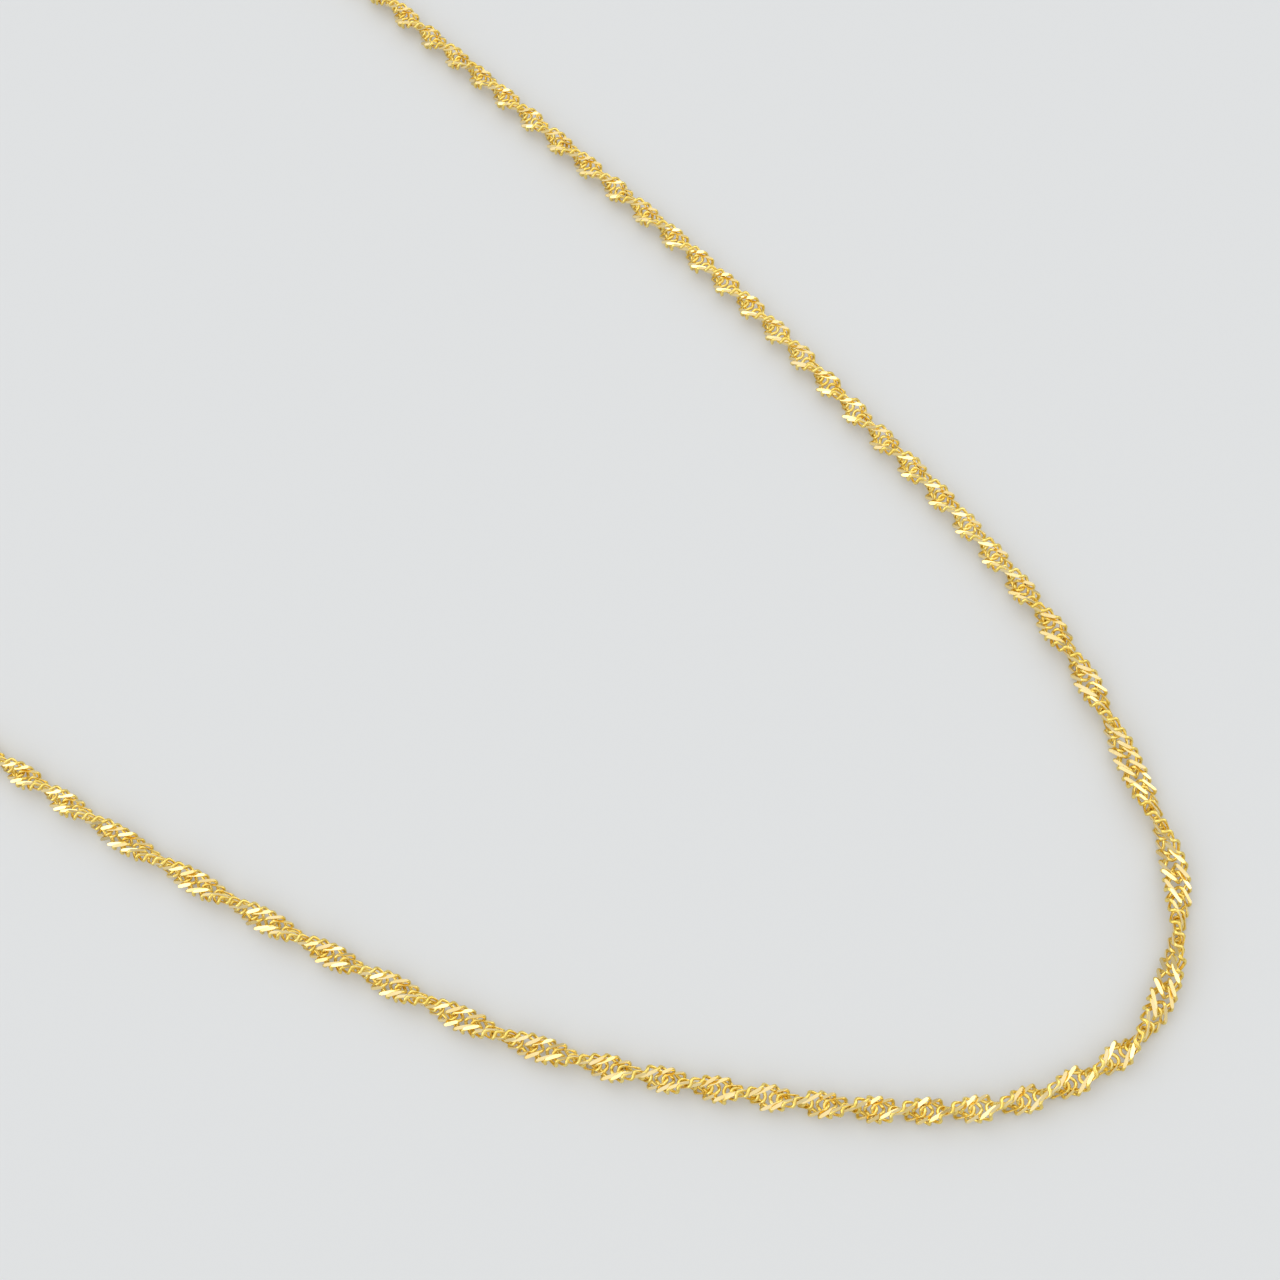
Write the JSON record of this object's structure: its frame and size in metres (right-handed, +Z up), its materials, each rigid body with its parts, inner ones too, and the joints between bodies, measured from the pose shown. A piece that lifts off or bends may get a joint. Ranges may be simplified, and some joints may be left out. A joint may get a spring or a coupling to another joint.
{
  "type": "singapore chain necklace",
  "caption": "Fine twisted curb chain necklace lying in an open loop, closed at the back by a round clasp on jump rings",
  "frame": {"origin": "on the surface that the necklace lies on, below the middle of its box", "axes": "+Z up from that surface; -Y points at the front of the loop, +Y at the clasp; +X to the right seen from above with the clasp away"},
  "size_m": [0.09, 0.1938, 0.0026],
  "materials": {
    "chain_gold": "gold-filled curb links, diamond-cut flat and polished bright",
    "fastening_gold": "gold-filled round wire, polished"
  },
  "bodies": {
    "root": {"chain": "chain_gold", "end_link_left": "fastening_gold", "end_link_right": "fastening_gold", "catch_ring": "fastening_gold", "clasp": "fastening_gold", "jump_ring": "fastening_gold"}
  },
  "joints": []
}
